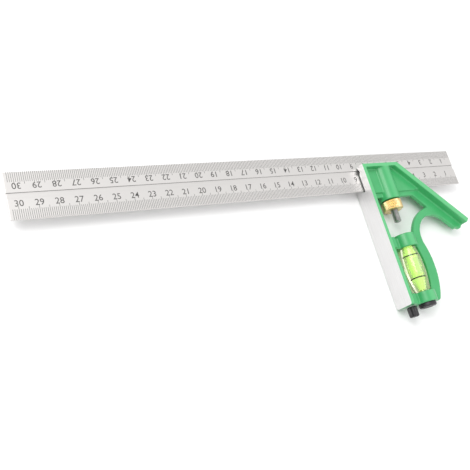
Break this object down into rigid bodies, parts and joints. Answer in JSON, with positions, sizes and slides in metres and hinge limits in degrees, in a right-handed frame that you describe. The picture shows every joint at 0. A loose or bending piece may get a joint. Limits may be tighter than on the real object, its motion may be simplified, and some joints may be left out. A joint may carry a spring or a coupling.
{
  "type": "combination square",
  "caption": "Combination square: graduated rule sliding in a cast head with 90 and 45 degree faces, lock nut, level vial and scriber.",
  "frame": {"origin": "inside corner of the square: on the head's 90 degree face, at the rule's lower edge, in the middle of the rule's thickness", "axes": "+X from the 90 degree face into the head, along the rule towards its zero end; +Y up along the 90 degree face, across the rule; +Z out of the side that shows the rule's groove, so the square lies on its side"},
  "size_m": [0.3048, 0.1097, 0.0144],
  "materials": {
    "head_paint": "satin enamel with bare machined faces",
    "rule_steel": "satin, etched black graduations",
    "bolt_steel": "plain turned steel",
    "spring_steel": "drawn wire",
    "nut_brass": "knurled, turned",
    "vial_clear": "clear acrylic",
    "vial_green": "fluorescent yellow-green liquid",
    "vial_air": "air bubble",
    "vial_ink": "black rings",
    "black_plastic": "moulded black plastic",
    "soft_pad": "soft pad",
    "sleeve_nylon": "natural nylon",
    "needle_steel": "polished hardened steel"
  },
  "bodies": {
    "head": {"head_casting": "head_paint", "vial_body": "vial_clear", "vial_cap": "vial_clear", "vial_liquid": "vial_green", "vial_bubble": "vial_air", "vial_rings": "vial_ink", "vial_cushion": "soft_pad", "end_plug": "black_plastic", "scriber_sleeve": "sleeve_nylon"},
    "rule": {"rule": "rule_steel"},
    "nut": {"lock_nut": "nut_brass"},
    "bolt": {"lock_bolt": "bolt_steel", "lock_spring": "spring_steel"},
    "scriber": {"scriber_needle": "needle_steel", "scriber_knob": "black_plastic"}
  },
  "joints": [
    {"name": "rule_slide", "type": "slide", "parent": "head", "child": "rule", "axis": [1, 0, 0], "range_m": [-0.06, 0.215]},
    {"name": "nut_turn", "type": "hinge", "parent": "head", "child": "nut", "pos_m": [0.0192, -0.0117, 0], "axis": [0, 1, 0], "range_deg": [0, 540]},
    {"name": "bolt_lift", "type": "slide", "parent": "head", "child": "bolt", "axis": [0, 1, 0], "range_m": [0, 0.0012], "deforming": ["lock_spring"]},
    {"name": "scriber_pull", "type": "slide", "parent": "head", "child": "scriber", "axis": [0, -1, 0], "range_m": [0, 0.045]}
  ],
  "couplings": [
    {"joint": "bolt_lift", "follows": "nut_turn", "m_per_rad": 0.00012732}
  ]
}
